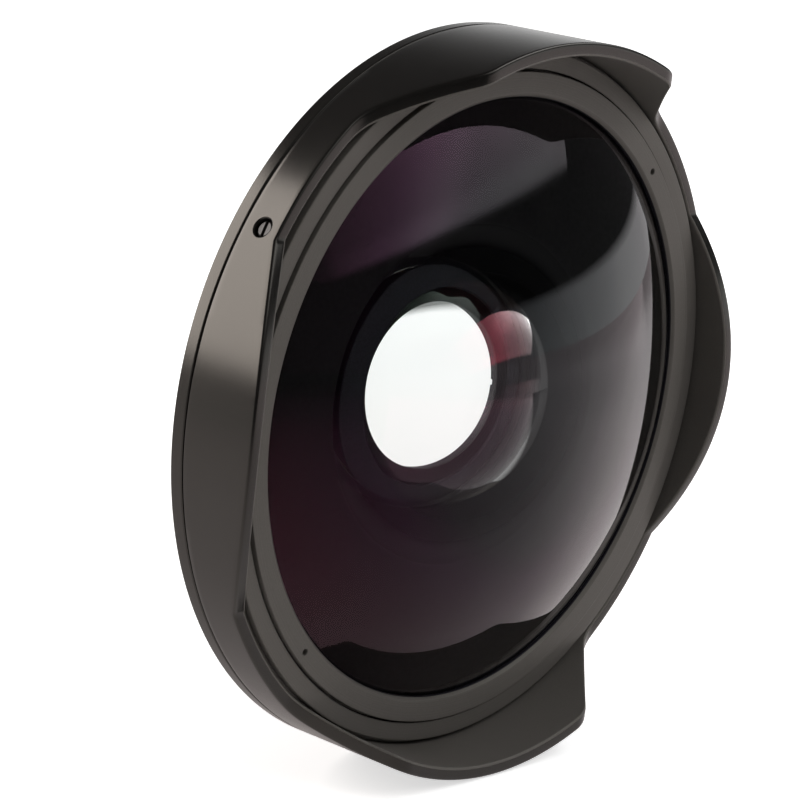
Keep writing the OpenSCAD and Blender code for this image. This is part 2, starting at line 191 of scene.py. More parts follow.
class GlassSettings(bpy.types.PropertyGroup):
    """Sizes and coatings of the glass."""
    dome_r: length("Dome radius", "Radius of the front dome", 70 * MM)
    glass_r: length("Glass radius", "Radius of the front glass", reach("front_element"))
    glass_back: length("Glass back", "Place of the front glass's flat back", rear("front_element"))
    dome_front: length("Dome front", "Place of the dome's vertex", front("front_element"))
    hollow_mouth_r: length("Hollow mouth", "Radius of the hollow at the flat back", 20 * MM)
    hollow_depth: length("Hollow depth", "Depth of the hollow", 14 * MM)
    front_bevel: length("Front glass bevel", "Chamfer of the front glass's rear edge", 0.25 * MM)
    crown_r: length("Rear crown radius", "Radius of the rear glass's front", 45 * MM)
    rear_glass_r: length("Rear glass radius", "Radius of the rear glass", reach("rear_crown_element"))
    rear_seat: length("Rear glass seat", "Place where the rear glass meets its cell's lip", 8.57 * MM)
    rear_back: length("Rear glass back", "Place of the rear glass's flat back", rear("rear_flint_element"))
    rear_bevel: length("Rear glass bevel", "Chamfer of the rear glass's rear edge", 0.2 * MM)
    index: FloatProperty(name="Index", description="Refractive index of the glass", default=1.52)
    dome_centre: tint("Dome coating, vertex", "Reflection colour near the vertex", (0.29, 0.33, 0.36))
    dome_middle: tint("Dome coating, middle", "Reflection colour half way out", (0.33, 0.30, 0.35))
    dome_outer: tint("Dome coating, outer", "Reflection colour outside the middle", (0.46, 0.21, 0.39))
    dome_edge: tint("Dome coating, edge", "Reflection colour at the lower rim", (0.48, 0.15, 0.25))
    hollow_low: tint("Hollow coating, below", "Reflection colour of its lower half", (0.75, 0.28, 0.48))
    hollow_high: tint("Hollow coating, above", "Reflection colour of its upper half", (1.0, 0.05, 0.15))
    rear_tint: tint("Rear coating", "Reflection colour of the rear glass", (0.12, 0.16, 0.13))


class MountSettings(bpy.types.PropertyGroup):
    """Sizes of the threaded mount and the rear cell."""
    thread_r: length("Thread radius", "Outer radius of the mount thread", 29 * MM)
    thread_h: length("Thread length", "Length of the mount thread", 4.5 * MM)
    pitch: length("Pitch", "Distance between thread crests", 0.75 * MM)
    thread_depth: length("Thread depth", "Depth of the thread", 0.42 * MM)
    thread_lead: length("Thread lead", "Chamfer at the thread's free end", 0.5 * MM)
    tube_r: length("Tube radius", "Inner radius of the threaded tube", 26.6 * MM)
    shoulder_r: length("Shoulder radius", "Radius of the mount's shoulder", reach("rear_mount_ring"))
    web_r: length("Web radius", "Inner radius of the mount's web", 21.8 * MM)
    web_back: length("Web back", "Place of the web's rear face", 0.5 * MM)
    screw_circle_r: length("Screw circle", "Radius of the circle of mount screws", 24.2 * MM)
    screw_d: length("Mount screw", "Diameter of a mount screw", 2 * MM)
    screw_play: length("Mount screw play", "Room left round a mount screw's shank", 0.075 * MM)
    head_play: length("Mount screw head play", "Room left round a mount screw's head", 0.15 * MM)
    cell_r: length("Cell radius", "Outer radius of the rear cell", 19.1 * MM)
    cell_bore_r: length("Cell bore", "Bore of the rear cell", 17.3 * MM)
    cell_flange: length("Cell flange", "Place of the front face of the cell's flange", 1.85 * MM)
    cell_lip: length("Cell lip place", "Place of the rear face of the cell's lip", 8.6 * MM)
    cell_lip_r: length("Cell lip", "Opening in the rear cell's lip", 15.85 * MM)
    rear_opening_r: length("Rear opening", "Opening in the rear retaining ring", 12.95 * MM)
    rear_slot_w: length("Rear ring slot width", "Width of the rear ring's slot", 1 * MM)
    rear_slot_depth: length("Rear ring slot depth", "Depth of the rear ring's slot", 0.7 * MM)


class FinishSettings(bpy.types.PropertyGroup):
    """Colours and gloss of the finishes."""
    anodise: tint("Black anodise", "Colour of the anodised aluminium", (0.009, 0.0083, 0.0079))
    anodise_gloss: tint("Anodise gloss", "Colour of the anodise's reflection", (1.0, 0.955, 0.87))
    anodise_rough: share("Anodise roughness", "Roughness of the blasted surface", 0.215)
    # Far lighter than the black anodise: partly a real finish, partly painted light on the ring, rim and hood
    # lining
    satin_with_painted_light: tint("Satin anodise", "Colour of the ring, rim and hood lining", (0.112, 0.104, 0.095))
    inner_black: tint("Inner black", "Colour of the matt inside", (0.014, 0.0135, 0.018))
    edge_paint: tint("Edge paint", "Colour of the paint on the glass edges", (0.009, 0.0088, 0.0092))
    screw_steel: tint("Blackened steel", "Colour of the screws", (0.022, 0.021, 0.021))
    rubber: tint("Rubber", "Colour of the soft seals", (0.018, 0.018, 0.019))
    brass: tint("Brass", "Colour of the spacing shim", (0.62, 0.42, 0.16))


class StageSettings(bpy.types.PropertyGroup):
    """Camera, floor and lights."""
    camera_turn: angle("Camera turn", "Turn of the camera round the lens", -49.73)
    camera_rise: angle("Camera rise", "Height of the camera above the horizon", 12.25)
    camera_roll: angle("Camera roll", "Roll of the camera", 6.85)
    camera_far: length("Camera distance", "Distance from the camera to its target", 0.4005)
    camera_target: point("Camera target", "Point in the middle of the picture",
                         (-0.00447, -0.01152, -0.00198))
    camera_lens: FloatProperty(name="Focal length", description="Focal length on a 36 mm sensor",
                               default=132.58, unit="CAMERA")
    key: level("Key radiance", "Brightness of the overhead panel", 2.15)
    key_place: point("Key place", "Middle of the overhead panel", (0.201, -0.682, 0.525))
    key_size: extent("Key size", "Width and depth of the overhead panel", (1.86, 0.82))
    key_turn: angle("Key turn", "Turn of the overhead panel about the vertical", 32.5)
    side: level("Side radiance", "Brightness of the rear left soft box", 5.6)
    side_place: point("Side place", "Middle of the rear left soft box", (-0.510, 0.652, 0.352))
    side_aim: point("Side aim", "Point that the rear left soft box faces", (0, -0.02, 0))
    side_size: extent("Side size", "Width and depth of the rear left soft box", (0.75, 0.66))
    side_tint: tint("Side tint", "Colour of the rear left soft box", (1.0, 0.93, 0.89))
    fill: level("Fill radiance", "Brightness of the overhead fill", 0.5)
    fill_place: point("Fill place", "Middle of the overhead fill", (0, 0, 1.4))
    fill_size: extent("Fill size", "Width and depth of the overhead fill", (1.6, 1.6))
    floor_half: length("Floor size", "Half of the floor's width", 6)
    floor_gap: length("Floor gap", "Room between the lens and the floor", 0.2 * MM)
    floor_white: share("Floor", "Brightness of the pale floor", 0.86)
    floor_lift: share("Floor lift", "Light that the floor shows to the camera alone", 0.62)
    # The floor's light to mirrors is painted light: the floor glows for them though it is no lamp
    floor_right: tint("Floor, right", "Light that the right of the floor gives mirrors", (1.0, 0.88, 0.895))
    floor_near: tint("Floor, near", "Light that the floor by the lens gives mirrors", (0.185, 0.145, 0.148))
    wall: level("Wall radiance", "Brightness of the white wall on the right", 1.18)
    ambient: level("Ambient", "Brightness of the surroundings elsewhere", 0.045)


def softened(corners, steps=4):
    """A closed outline of (r, s, rounding) corners, rounded; a rounding of zero leaves a corner sharp."""
    outline = []
    most = 0.45
    for i, (r, s, rounding) in enumerate(corners):
        here = Vector((r, s))
        back = Vector(corners[i - 1][:2]) - here
        ahead = Vector(corners[(i + 1) % len(corners)][:2]) - here
        half = back.angle(ahead) / 2
        setback = min(rounding / math.tan(half), back.length * most, ahead.length * most)
        if setback < TINY:
            outline.append(tuple(here))
            continue
        start = here + back.normalized() * setback
        end = here + ahead.normalized() * setback
        for k in range(steps + 1):
            t = k / steps
            outline.append(tuple(start * (1 - t) ** 2 + here * 2 * t * (1 - t) + end * t * t))
    return outline


def arc(centre, radius, first, last, steps):
    """Points (r, s) of an arc about a place on the axis; angles are counted from the forward axis."""
    turns = [first + (last - first) * k / steps for k in range(steps + 1)]
    return [(max(radius * math.sin(t), 0), centre + radius * math.cos(t)) for t in turns]


def turned(name, path, segments, loop=True, finish_of=None, relief=None):
    """A mesh turned round the lens axis from (r, s) points; s runs forward, which is toward -Y."""
    bm = bmesh.new()
    turns = [2 * math.pi * i / segments for i in range(segments)]
    rows = []
    for r, s in path:
        if r < TINY:
            rows.append([bm.verts.new((0, -s, 0))])
            continue
        row = []
        for turn in turns:
            here = relief(r, s, turn) if relief else r
            row.append(bm.verts.new((here * math.cos(turn), -s, here * math.sin(turn))))
        rows.append(row)
    spans = list(zip(rows, rows[1:])) + ([(rows[-1], rows[0])] if loop else [])
    for index, (low, high) in enumerate(spans):
        for i in range(segments):
            j = (i + 1) % segments
            ring = [low[i % len(low)], low[j % len(low)], high[j % len(high)], high[i % len(high)]]
            face = bm.faces.new(list(dict.fromkeys(ring)))
            face.material_index = finish_of[index] if finish_of else 0
    return closed_mesh(name, bm)


def closed_mesh(name, bm):
    """Turns the faces outward and hands the mesh over."""
    bmesh.ops.recalc_face_normals(bm, faces=bm.faces)
    mesh = bpy.data.meshes.new(name)
    bm.to_mesh(mesh)
    bm.free()
    return mesh


def box_mesh(name, size, place):
    """A block with its middle at the origin, set in place by a matrix."""
    bm = bmesh.new()
    bmesh.ops.create_cube(bm, size=1)
    bmesh.ops.scale(bm, vec=size, verts=bm.verts)
    mesh = closed_mesh(name, bm)
    mesh.transform(place)
    return mesh


def cut(mesh, cutters):
    """The mesh with the cutters taken out of it."""
    work = bpy.data.objects.new("work", mesh)
    bpy.context.scene.collection.objects.link(work)
    for cutter in cutters:
        tool = bpy.data.objects.new("tool", cutter)
        bpy.context.scene.collection.objects.link(tool)
        step = work.modifiers.new("cut", "BOOLEAN")
        step.operation, step.solver, step.object = "DIFFERENCE", "EXACT", tool
        bpy.context.view_layer.update()
        seen = work.evaluated_get(bpy.context.evaluated_depsgraph_get())
        result = bpy.data.meshes.new_from_object(seen)
        result.materials.clear()
        work.modifiers.clear()
        old, work.data = work.data, result
        bpy.data.meshes.remove(old)
        bpy.data.objects.remove(tool)
        bpy.data.meshes.remove(cutter)
    mesh = work.data
    bpy.data.objects.remove(work)
    return mesh


def bits(path, segments, places):
    """Cutters turned from one outline, one at each place."""
    cutters = []
    for place in places:
        cutter = turned("bit", path, segments, loop=False)
        cutter.transform(place)
        cutters.append(cutter)
    return cutters


def round_axis(radius, turns):
    """Places on a circle round the lens axis."""
    return [Matrix.Translation((radius * math.cos(turn), 0, radius * math.sin(turn))) for turn in turns]


def radial_place(turn, s):
    """Matrix that stands a part turned round -Y on the lens wall, so that its axis points outward."""
    outward = Vector((math.cos(turn), 0, math.sin(turn)))
    forward = Vector((0, -1, 0))
    across = outward.cross(forward)
    place = Matrix((forward, -outward, across)).transposed().to_4x4()
    place.translation = Vector((0, -s, 0))
    return place


def mount_drills(m, start, end):
    """Straight drills for the mount screws, from one place along the axis to another."""
    hole = m.screw_d / 2 + m.screw_play
    path = [(0, start), (hole, start), (hole, end), (0, end)]
    return bits(path, 32, round_axis(m.screw_circle_r, MOUNT_SCREWS))


def add_piece(name, mesh, body, nodes, finishes, crease=28):
    """Puts a mesh into the scene as a smooth piece that rides on a body and stands for CAD nodes."""
    mesh.name = name
    for finish in finishes:
        mesh.materials.append(finish)
    mesh.shade_smooth()
    mesh.set_sharp_from_angle(angle=math.radians(crease))
    piece = bpy.data.objects.new(name, mesh)
    bpy.context.scene.collection.objects.link(piece)
    even = piece.modifiers.new("even_shading", "WEIGHTED_NORMAL")
    even.keep_sharp = True
    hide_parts(*nodes)
    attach(piece, body)
    return piece


class Wiring:
    """The node tree of a material, a light or the world, emptied and wired step by step."""

    def __init__(self, owner):
        owner.use_nodes = True
        self.tree = owner.node_tree
        self.tree.nodes.clear()

    def add(self, kind, inputs=None, **settings):
        """Adds a node, sets its options, and links or fills its inputs."""
        node = self.tree.nodes.new(kind)
        for option, value in settings.items():
            setattr(node, option, value)
        for socket, value in (inputs or {}).items():
            if isinstance(value, bpy.types.NodeSocket):
                self.tree.links.new(value, node.inputs[socket])
            else:
                node.inputs[socket].default_value = value
        return node

    def place(self):
        """Object coordinates in metres."""
        return self.add("ShaderNodeTexCoord").outputs["Object"]

    def radius(self):
        """Distance from the lens axis in metres."""
        flat = self.add("ShaderNodeVectorMath", {0: self.place(), 1: (1, 0, 1)}, operation="MULTIPLY")
        return self.add("ShaderNodeVectorMath", {0: flat.outputs[0]}, operation="LENGTH").outputs["Value"]

    def noise(self, scale, detail=2.0, vector=None):
        """Value noise with cells of 1 / scale metres."""
        inputs = {"Vector": vector or self.place(), "Scale": scale, "Detail": detail}
        return self.add("ShaderNodeTexNoise", inputs).outputs[0]

    def lines(self, value, scale):
        """Noise along one measure, for turning marks."""
        return self.add("ShaderNodeTexNoise", {"W": value, "Scale": scale, "Detail": 1.0},
                        noise_dimensions="1D").outputs[0]

    def math(self, operation, a, b):
        """One sum of two values."""
        return self.add("ShaderNodeMath", {0: a, 1: b}, operation=operation).outputs[0]

    def times(self, a, b):
        """Product of two values."""
        return self.math("MULTIPLY", a, b)

    def larger(self, a, b):
        """The larger of two values."""
        return self.math("MAXIMUM", a, b)

    def blend(self, a, part_a, b, part_b):
        """Sum of two values, each times its part."""
        return self.math("ADD", self.times(a, part_a), self.times(b, part_b))

    def choose(self, switch, amount):
        """The amount where the switch is on, and one where it is off."""
        return self.math("ADD", 1.0, self.times(switch, self.math("SUBTRACT", amount, 1.0)))

    def along(self, vector, way):
        """Share of a vector along a way."""
        return self.add("ShaderNodeVectorMath", {0: vector, 1: way}, operation="DOT_PRODUCT").outputs["Value"]

    def spread(self, value, low, high, start=0.25, end=0.75, ease="LINEAR"):
        """Maps a value from the span start to end onto the span low to high."""
        inputs = {"Value": value, "From Min": start, "From Max": end, "To Min": low, "To Max": high}
        return self.add("ShaderNodeMapRange", inputs, interpolation_type=ease).outputs[0]

    def ramp(self, value, stops):
        """Colour along a value; stops are (place, colour) in rising order."""
        node = self.add("ShaderNodeValToRGB", {"Fac": value})
        band = node.color_ramp
        for k, (spot, colour) in enumerate([stops[0], stops[-1], *stops[1:-1]]):
            stop = band.elements[k] if k < 2 else band.elements.new(spot)
            stop.position, stop.color = spot, (*colour, 1)
        return node.outputs["Color"]

    def levels(self, value, stops):
        """Grey along a value; stops are (place, grey) in rising order."""
        return self.ramp(value, [(spot, (grey,) * 3) for spot, grey in stops])

    def bump(self, height, strength, distance):
        """Normal from a height."""
        return self.add("ShaderNodeBump", {"Height": height, "Strength": strength,
                                           "Distance": distance}).outputs["Normal"]


class Finish(Wiring):
    """One material."""

    def __init__(self, name):
        self.material = bpy.data.materials.new(name)
        super().__init__(self.material)

    def mottled(self, value, colour, dark, light):
        """A colour that a noise makes darker and lighter."""
        return self.ramp(value, [(0.3, scaled(colour, dark)), (0.7, scaled(colour, light))])

    def close(self, inputs):
        """Ends in one surface shader."""
        shader = self.add("ShaderNodeBsdfPrincipled", inputs)
        self.add("ShaderNodeOutputMaterial", {"Surface": shader.outputs[0]})
        return self.material


def scaled(colour, factor):
    """A colour made lighter or darker."""
    return tuple(min(channel * factor, 1.0) for channel in colour)


def finished(*makers):
    """The finishes that these functions make, each made once and named for its function."""
    return [bpy.data.materials.get(make.__name__) or make(make.__name__) for make in makers]


def black_anodise(name):
    """Blasted and black anodised aluminium with faint turning marks."""
    look = bpy.context.scene.lens_finish
    f = Finish(name)
    grain = f.noise(5200, 2.0)
    cloud = f.noise(90, 3.0)
    marks = f.lines(f.radius(), 5200)
    height = f.blend(grain, 0.75, marks, 0.25)
    colour = f.mottled(f.blend(cloud, 0.6, grain, 0.4), look.anodise, 0.78, 1.22)
    return f.close({"Base Color": colour,
                    "Roughness": f.spread(cloud, look.anodise_rough - 0.03, look.anodise_rough + 0.03),
                    "IOR": 1.5, "Specular Tint": (*look.anodise_gloss, 1),
                    "Normal": f.bump(height, 0.35, 0.012 * MM)})


def satin_anodise_with_painted_light(name):
    """Satin black anodise of the faces round the glass and the hood's lining, turned in fine circles; its
    colour, much lighter than the black anodise, is partly painted light that stands in for the light falling
    on these faces.
    """
    look = bpy.context.scene.lens_finish
    f = Finish(name)
    grain, marks = f.noise(6200, 2.0), f.lines(f.radius(), 9000)
    height = f.blend(grain, 0.5, marks, 0.5)
    colour = f.mottled(height, look.satin_with_painted_light, 0.85, 1.15)
    return f.close({"Base Color": colour, "Roughness": f.spread(grain, 0.44, 0.52), "IOR": 1.38,
                    "Specular Tint": (*look.anodise_gloss, 1), "Normal": f.bump(height, 0.3, 0.012 * MM)})


def matt_black(name):
    """Matt black of the inside, with a fine grain against stray light."""
    f = Finish(name)
    grain = f.noise(3800, 2.0)
    colour = f.mottled(grain, bpy.context.scene.lens_finish.inner_black, 0.7, 1.3)
    return f.close({"Base Color": colour, "Roughness": f.spread(grain, 0.52, 0.68),
                    "Specular IOR Level": 0.14, "Normal": f.bump(grain, 0.5, 0.02 * MM)})


def lens_paint(name):
    """Black paint on the flat back and edge of the glass."""
    f = Finish(name)
    grain = f.noise(1400, 3.0)
    colour = f.mottled(grain, bpy.context.scene.lens_finish.edge_paint, 0.75, 1.25)
    return f.close({"Base Color": colour, "Roughness": f.spread(grain, 0.55, 0.7),
                    "Specular IOR Level": 0.05})


def coated_glass(name, stops, outward, upward):
    """Clear glass with a coating whose colour changes with the distance from the axis; the reflection tint
    also changes with the height.
    """
    glass = bpy.context.scene.lens_glass
    f = Finish(name)
    mottle = f.times(f.math("SUBTRACT", f.noise(140, 2.0), 0.5), 1.2 * MM)
    measure = f.math("ADD", f.times(f.radius(), outward), f.along(f.place(), (0, 0, upward)))
    spot = f.spread(f.math("ADD", measure, mottle), 0.0, 1.0, 0.0, glass.glass_r)
    return f.close({"Base Color": (1, 1, 1, 1), "Roughness": 0.0, "IOR": glass.index,
                    "Transmission Weight": 1.0, "Specular Tint": f.ramp(spot, stops)})


def dome_coating(name):
    """Coating of the front dome, blue-green in the middle and magenta at the rim; the reflection tint is also
    redder toward the bottom.
    """
    glass = bpy.context.scene.lens_glass
    return coated_glass(name, [(0.2, glass.dome_centre), (0.52, glass.dome_middle), (0.68, glass.dome_outer),
                               (1.0, glass.dome_edge)], 1.0, -0.3)


def hollow_coating(name):
    """Coating of the hollow in the front glass; the reflection tint is redder toward the top."""
    glass = bpy.context.scene.lens_glass
    return coated_glass(name, [(0.0, glass.hollow_low), (0.12, glass.hollow_high)], 0.0, 1.0)


def rear_coating(name):
    """Coating of the rear glass."""
    colour = bpy.context.scene.lens_glass.rear_tint
    return coated_glass(name, [(0.0, scaled(colour, 0.85)), (0.4, scaled(colour, 1.15))], 1.0, 0.0)


def blackened_steel(name):
    """Oiled black steel of the screws."""
    f = Finish(name)
    grain = f.noise(9000, 2.0)
    colour = f.mottled(grain, bpy.context.scene.lens_finish.screw_steel, 0.8, 1.4)
    return f.close({"Base Color": colour, "Roughness": f.spread(grain, 0.3, 0.42), "IOR": 1.5,
                    "Normal": f.bump(grain, 0.3, 0.01 * MM)})


def soft_rubber(name):
    """Black rubber with a dusty sheen."""
    f = Finish(name)
    grain = f.noise(2600, 3.0)
    colour = f.mottled(grain, bpy.context.scene.lens_finish.rubber, 0.8, 1.3)
    return f.close({"Base Color": colour, "Roughness": f.spread(grain, 0.62, 0.8),
                    "Sheen Weight": 0.1, "Normal": f.bump(grain, 0.4, 0.02 * MM)})


def rolled_brass(name):
    """Rolled brass shim stock with fine scratches."""
    f = Finish(name)
    drawn = f.add("ShaderNodeVectorMath", {0: f.place(), 1: (1, 1, 14)}, operation="MULTIPLY")
    streak = f.noise(700, 4.0, drawn.outputs[0])
    colour = f.mottled(streak, bpy.context.scene.lens_finish.brass, 0.85, 1.1)
    return f.close({"Base Color": colour, "Metallic": 1.0, "Roughness": f.spread(streak, 0.28, 0.42),
                    "Normal": f.bump(streak, 0.2, 0.01 * MM)})


class Builder:
    """Shared options of the build steps."""
    bl_options = {"REGISTER", "UNDO"}


class LENS_OT_hood(Builder, bpy.types.Operator):
    """Builds the petal hood with its rounded front edge and screw holes"""
    bl_idname = "lens.hood"
    bl_label = "Petal Hood"

    def tall_edge(self, h, x):
        """Front edge of a tall petal at a distance from its middle."""
        x = abs(x)
        rise, run = h.tall_front - h.valley, (h.tall_base_w - h.tall_front_w) / 2
        slope = math.hypot(rise, run)
        setback = math.tan(math.atan2(rise, run) / 2)
        top_end = h.tall_front_w / 2 - h.corner_r * setback
        top_start = h.tall_front_w / 2 + h.corner_r * setback * run / slope
        low_end = h.tall_base_w / 2 + h.sweep_r * setback
        low_start = h.tall_base_w / 2 - h.sweep_r * setback * run / slope
        if x <= top_end:
            return h.tall_front
        if x <= top_start:
            return h.tall_front - h.corner_r + math.sqrt(h.corner_r ** 2 - (x - top_end) ** 2)
        if x <= low_start:
            return h.tall_front - (x - h.tall_front_w / 2) * rise / run
        if x < low_end:
            return h.valley + h.sweep_r - math.sqrt(h.sweep_r ** 2 - (low_end - x) ** 2)
        return h.valley

    def side_edge(self, h, z):
        """Front edge of a side petal, an arc across its width."""
        rise = h.side_front - h.valley
        radius = (h.side_w ** 2 / 4 + rise ** 2) / (2 * rise)
        return h.side_front - radius + math.sqrt(radius ** 2 - z * z) if abs(z) < h.side_w / 2 else h.valley

    def columns(self, h):
        """Turns of the wall's columns on the outer and the inner surface."""
        bore = h.outer_r - h.wall
        side_steps, tall_steps = 44, 80
        valley_marks, tall_start, quarter_end = [29.4, 30.2, *range(31, 46)], 46, 90
        crease = math.degrees(math.asin(h.side_w / 2 / h.outer_r))
        marks = [crease * k / side_steps for k in range(side_steps + 1)] + valley_marks
        marks += [tall_start + (quarter_end - tall_start) * k / tall_steps for k in range(tall_steps + 1)]
        quarter = []
        low, high = math.radians(valley_marks[1]), math.radians(tall_start)
        low_in = math.asin(h.outer_r * math.sin(low) / bore)
        high_in = math.acos(h.outer_r * math.cos(high) / bore)
        for mark in marks:
            out = math.radians(mark)
            # A side petal's column keeps its height through the wall, a tall one's its place across
            if out <= low:
                inner = math.asin(h.outer_r * math.sin(out) / bore)
            elif out >= high:
                inner = math.acos(min(h.outer_r * math.cos(out) / bore, 1))
            else:
                inner = low_in + (high_in - low_in) * (out - low) / (high - low)
            quarter.append((out, inner))
        half = quarter + [(math.pi - a, math.pi - b) for a, b in reversed(quarter[:-1])]
        return half + [(2 * math.pi - a, 2 * math.pi - b) for a, b in reversed(half[1:-1])]

    def column_points(self, h, out, inner):
        """Points of one column from the rear edge up the outside, over the front edge and down the bore."""
        bore, b, c = h.outer_r - h.wall, h.bevel, h.foot_bevel
        wall_steps, edge_steps, foot_steps, face_steps = 12, 4, 3, 3
        points = []

        def turn_at(r):
            return out + (inner - out) * (h.outer_r - r) / h.wall

        def put(r, s):
            points.append((r * math.cos(turn_at(r)), -s, r * math.sin(turn_at(r))))

        def edge(r):
            turn = turn_at(r)
            return max(self.tall_edge(h, r * math.cos(turn)), self.side_edge(h, r * math.sin(turn)))

        def rounding(r, s, radius, first, steps):
            for k in range(steps + 1):
                t = first + math.pi / 2 * k / steps
                put(r + radius * math.cos(t), s + radius * math.sin(t))

        top_out, top_in = edge(h.outer_r), edge(bore)
        rounding(h.outer_r - c, h.foot + c, c, -math.pi / 2, foot_steps)
        for k in range(1, wall_steps):
            put(h.outer_r, h.foot + c + (top_out - b - h.foot - c) * k / wall_steps)
        rounding(h.outer_r - b, top_out - b, b, 0, edge_steps)
        for k in range(1, face_steps):
            r = h.outer_r - b - (h.wall - 2 * b) * k / face_steps
            put(r, edge(r))
        rounding(bore + b, top_in - b, b, math.pi / 2, edge_steps)
        for k in range(1, wall_steps):
            put(bore, top_in - b + (h.foot + c - top_in + b) * k / wall_steps)
        rounding(bore + c, h.foot + c, c, math.pi, foot_steps)
        return points

    def execute(self, context):
        h = context.scene.lens_hood
        bm = bmesh.new()
        rows = []
        for out, inner in self.columns(h):
            rows.append([bm.verts.new(point) for point in self.column_points(h, out, inner)])
        for i, row in enumerate(rows):
            following = rows[(i + 1) % len(rows)]
            for k in range(len(row)):
                m = (k + 1) % len(row)
                bm.faces.new((row[k], following[k], following[m], row[m]))
        hole, chamfer = h.screw_hole_d / 2, h.hole_chamfer
        deep, past = h.outer_r - 3 * h.wall, 0.6 * MM
        drill = [(0, deep), (hole, deep), (hole, h.outer_r - chamfer),
                 (hole + chamfer + past, h.outer_r + past), (0, h.outer_r + past)]
        places = [radial_place(turn, h.screw_at) for turn in HOOD_SCREWS.values()]
        mesh = cut(closed_mesh("hood_shell", bm), bits(drill, 48, places))
        # The lining takes the lighter finish, whose colour holds painted light inside the petals
        lining_r = h.outer_r - h.wall + h.bevel
        for face in mesh.polygons:
            face.material_index = int(math.hypot(face.center.x, face.center.z) < lining_r)
        add_piece("hood_shell", mesh, "hood", ["petal_hood"],
                  finished(black_anodise, satin_anodise_with_painted_light))
        return {"FINISHED"}


class LENS_OT_hood_screws(Builder, bpy.types.Operator):
    """Builds the three slotted grub screws of the hood"""
    bl_idname = "lens.hood_screws"
    bl_label = "Hood Screws"

    def execute(self, context):
        h = context.scene.lens_hood
        shank, tip, head = h.screw_d / 2 - h.screw_play, h.screw_tip_r, h.screw_head_r
        soft, cone, chamfer = 0.06 * MM, 0.62 * MM, 0.3 * MM
        path = [(0, tip), (shank * 0.42, tip), (shank * 0.5, tip + soft), (shank, tip + cone),
                (shank, head - chamfer), (shank - soft, head - chamfer * 2 / 3), (shank - chamfer, head),
                (0, head)]
        slot_size = (2.4 * h.screw_d, 2 * h.screw_slot_depth, h.screw_slot_w)
        slot_place = Matrix.Translation((0, -head, 0)) @ Matrix.Rotation(h.screw_slot_turn, 4, "Y")
        for side, turn in HOOD_SCREWS.items():
            mesh = turned("grub_screw", path, 64, loop=False)
            mesh = cut(mesh, [box_mesh("slot", slot_size, slot_place)])
            mesh.transform(radial_place(turn, h.screw_at))
            add_piece("grub_screw_" + side, mesh, "screw_" + side, ["hood_screw_" + side],
                      finished(blackened_steel), crease=24)
        return {"FINISHED"}


class LENS_OT_barrel(Builder, bpy.types.Operator):
    """Builds the barrel with its flange, spigot, screw groove and front rim"""
    bl_idname = "lens.barrel"
    bl_label = "Barrel"

    def execute(self, context):
        b, hood_r = context.scene.lens_barrel, context.scene.lens_hood.outer_r
        e = b.soft_edge
        bevel_in, bevel_up = 0.2 * MM, 0.25 * MM
        cone = [(b.rear_bore_r, b.back, 0), (b.back_r - bevel_in, b.back, e),
                (b.back_r, b.back + bevel_up, e), (b.body_r, b.cone_end, 2 * e), (b.body_r, b.flange, 3 * e)]
        flange = [(hood_r, b.flange, e * 1.6), (hood_r, b.seam, e * 2)]
        spigot = [(b.spigot_r, b.seam, 0), (b.spigot_r, b.groove_rear, 0), (b.groove_r, b.groove_rear, e),
                  (b.groove_r, b.groove_front, e), (b.spigot_r, b.groove_front, 0),
                  (b.spigot_r, b.spigot_end, e)]
        rim = [(b.rim_r, b.spigot_end, 0), (b.rim_r, b.rim, e * 1.5), (b.rim_bore_r, b.rim, e),
               (b.rim_bore_r, b.ring_seat, 0)]
        inside = [(b.glass_bore_r, b.ring_seat, e), (b.glass_bore_r, b.glass_seat, 0),
                  (b.trap_r, b.glass_seat, e), (b.trap_r, b.trap_floor, 0), (b.rear_bore_r, b.trap_floor, 0)]
        mesh = turned("barrel_body", softened(cone + flange + spigot + rim + inside), 360)
        mesh = cut(mesh, mount_drills(context.scene.lens_mount, b.back - 1.5 * MM, b.mount_hole_end))
        # The rim's faces take the lighter finish, whose colour is partly painted light
        satin_painted_light_from = b.spigot_end - 0.2 * MM
        for face in mesh.polygons:
            face.material_index = int(-face.center.y > satin_painted_light_from)
        add_piece("barrel_body", mesh, "barrel", ["main_barrel"],
                  finished(black_anodise, satin_anodise_with_painted_light))
        return {"FINISHED"}


class LENS_OT_front_ring(Builder, bpy.types.Operator):
    """Builds the retaining ring round the front glass with its two spanner holes"""
    bl_idname = "lens.front_ring"
    bl_label = "Front Ring"

    def execute(self, context):
        b = context.scene.lens_barrel
        e, foot = b.soft_edge, rear("front_retaining_ring")
        face_r = b.clear_r + b.lip_bevel
        corners = [(b.clear_r, b.ring_lip, 0), (b.clear_r, b.ring_face - b.lip_bevel, 2 * e),
                   (face_r, b.ring_face, 2.4 * e), (b.ring_front_r, b.ring_face, e),
                   (b.ring_front_r, b.ring_step, 0), (b.ring_r, b.ring_step, e), (b.ring_r, foot, 0),
                   (b.ring_bore_r, foot, 0), (b.ring_bore_r, b.ring_under, 0)]
        hole, chamfer, past = b.spanner_hole_d / 2, 0.06 * MM, 0.4 * MM
        deep = b.ring_face - b.spanner_depth
        drill = [(0, deep), (hole, deep), (hole, b.ring_face - chamfer),
                 (hole + chamfer + past, b.ring_face + past), (0, b.ring_face + past)]
        places = round_axis((face_r + b.ring_front_r) / 2, (b.spanner_turn, b.spanner_turn + math.pi))
        mesh = cut(turned("front_ring", softened(corners), 360), bits(drill, 40, places))
        # The ring's face takes the lighter finish, whose colour is partly painted light; its opening is matt
        # black
        lip_r = b.clear_r + 0.1 * MM
        for face in mesh.polygons:
            face.material_index = int(math.hypot(face.center.x, face.center.z) < lip_r)
        add_piece("front_ring", mesh, "barrel", ["front_retaining_ring"],
                  finished(satin_anodise_with_painted_light, matt_black))
        return {"FINISHED"}


